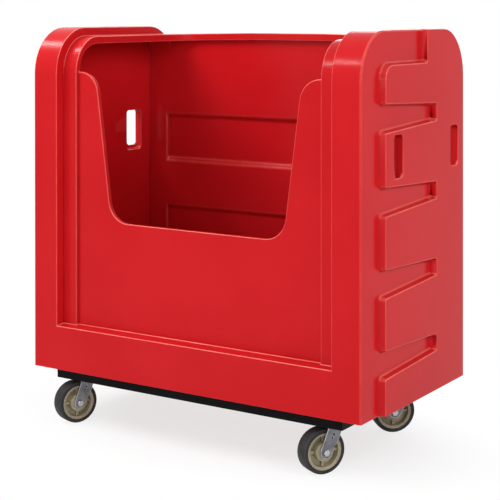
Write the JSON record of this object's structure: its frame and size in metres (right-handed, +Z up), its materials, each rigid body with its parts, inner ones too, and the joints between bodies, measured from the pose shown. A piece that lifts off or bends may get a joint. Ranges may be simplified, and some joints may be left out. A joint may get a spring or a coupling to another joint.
{
  "type": "bulk tub cart",
  "caption": "Wheeled bulk tub cart with arched ends, a low front window with a turned lip, raised end pads with hand slots, a steel angle frame and swivel casters.",
  "frame": {"origin": "On the floor under the middle of the cart's outline, wheels at rest included.", "axes": "+Z up, +Y from the open front to the back, +X to the right end seen from the front."},
  "size_m": [1.391, 0.7384, 1.4206],
  "materials": {
    "red_polyethylene": "satin red moulded polyethylene",
    "black_frame_paint": "satin black paint on steel",
    "caster_steel": "dull zinc-plated pressed steel",
    "zinc_fasteners": "bright zinc plate",
    "tan_wheel_core": "satin tan moulded nylon",
    "dark_tread": "matt dark grey tread"
  },
  "bodies": {
    "cart": {"tub": "red_polyethylene", "rail_front": "black_frame_paint", "rail_rear": "black_frame_paint", "rail_left": "black_frame_paint", "rail_right": "black_frame_paint", "caster_bar_left": "black_frame_paint", "caster_bar_right": "black_frame_paint", "tub_bolt_fl": "zinc_fasteners", "tub_bolt_fr": "zinc_fasteners", "tub_bolt_rr": "zinc_fasteners", "tub_bolt_rl": "zinc_fasteners", "caster_fl_plate": "caster_steel", "caster_fl_kingpin": "zinc_fasteners", "caster_fl_plate_bolt_1": "zinc_fasteners", "caster_fl_plate_bolt_2": "zinc_fasteners", "caster_fl_plate_bolt_3": "zinc_fasteners", "caster_fl_plate_bolt_4": "zinc_fasteners", "caster_fr_plate": "caster_steel", "caster_fr_kingpin": "zinc_fasteners", "caster_fr_plate_bolt_1": "zinc_fasteners", "caster_fr_plate_bolt_2": "zinc_fasteners", "caster_fr_plate_bolt_3": "zinc_fasteners", "caster_fr_plate_bolt_4": "zinc_fasteners", "caster_rr_plate": "caster_steel", "caster_rr_kingpin": "zinc_fasteners", "caster_rr_plate_bolt_1": "zinc_fasteners", "caster_rr_plate_bolt_2": "zinc_fasteners", "caster_rr_plate_bolt_3": "zinc_fasteners", "caster_rr_plate_bolt_4": "zinc_fasteners", "caster_rl_plate": "caster_steel", "caster_rl_kingpin": "zinc_fasteners", "caster_rl_plate_bolt_1": "zinc_fasteners", "caster_rl_plate_bolt_2": "zinc_fasteners", "caster_rl_plate_bolt_3": "zinc_fasteners", "caster_rl_plate_bolt_4": "zinc_fasteners"},
    "swivel_fl": {"caster_fl_fork": "caster_steel", "caster_fl_axle_bolt": "zinc_fasteners", "caster_fl_axle_nut": "zinc_fasteners"},
    "wheel_fl": {"caster_fl_wheel_core": "tan_wheel_core", "caster_fl_tread": "dark_tread", "caster_fl_bearing": "zinc_fasteners"},
    "swivel_fr": {"caster_fr_fork": "caster_steel", "caster_fr_axle_bolt": "zinc_fasteners", "caster_fr_axle_nut": "zinc_fasteners"},
    "wheel_fr": {"caster_fr_wheel_core": "tan_wheel_core", "caster_fr_tread": "dark_tread", "caster_fr_bearing": "zinc_fasteners"},
    "swivel_rr": {"caster_rr_fork": "caster_steel", "caster_rr_axle_bolt": "zinc_fasteners", "caster_rr_axle_nut": "zinc_fasteners"},
    "wheel_rr": {"caster_rr_wheel_core": "tan_wheel_core", "caster_rr_tread": "dark_tread", "caster_rr_bearing": "zinc_fasteners"},
    "swivel_rl": {"caster_rl_fork": "caster_steel", "caster_rl_axle_bolt": "zinc_fasteners", "caster_rl_axle_nut": "zinc_fasteners"},
    "wheel_rl": {"caster_rl_wheel_core": "tan_wheel_core", "caster_rl_tread": "dark_tread", "caster_rl_bearing": "zinc_fasteners"}
  },
  "joints": [
    {"name": "swivel_fl_turn", "type": "hinge", "parent": "cart", "child": "swivel_fl", "pos_m": [-0.517, -0.2491, 0.17], "axis": [0, 0, 1], "continuous": true},
    {"name": "wheel_fl_roll", "type": "hinge", "parent": "swivel_fl", "child": "wheel_fl", "pos_m": [-0.53342, -0.29099, 0.0762], "axis": [-0.9311, 0.3649, 0], "continuous": true},
    {"name": "swivel_fr_turn", "type": "hinge", "parent": "cart", "child": "swivel_fr", "pos_m": [0.517, -0.2491, 0.17], "axis": [0, 0, 1], "continuous": true},
    {"name": "wheel_fr_roll", "type": "hinge", "parent": "swivel_fr", "child": "wheel_fr", "pos_m": [0.4945, -0.28807, 0.0762], "axis": [-0.866, 0.5, 0], "continuous": true},
    {"name": "swivel_rr_turn", "type": "hinge", "parent": "cart", "child": "swivel_rr", "pos_m": [0.517, 0.26691, 0.17], "axis": [0, 0, 1], "continuous": true},
    {"name": "wheel_rr_roll", "type": "hinge", "parent": "swivel_rr", "child": "wheel_rr", "pos_m": [0.48463, 0.23565, 0.0762], "axis": [-0.6947, 0.7193, 0], "continuous": true},
    {"name": "swivel_rl_turn", "type": "hinge", "parent": "cart", "child": "swivel_rl", "pos_m": [-0.517, 0.26691, 0.17], "axis": [0, 0, 1], "continuous": true},
    {"name": "wheel_rl_roll", "type": "hinge", "parent": "swivel_rl", "child": "wheel_rl", "pos_m": [-0.54593, 0.23243, 0.0762], "axis": [-0.766, 0.6428, 0], "continuous": true}
  ]
}
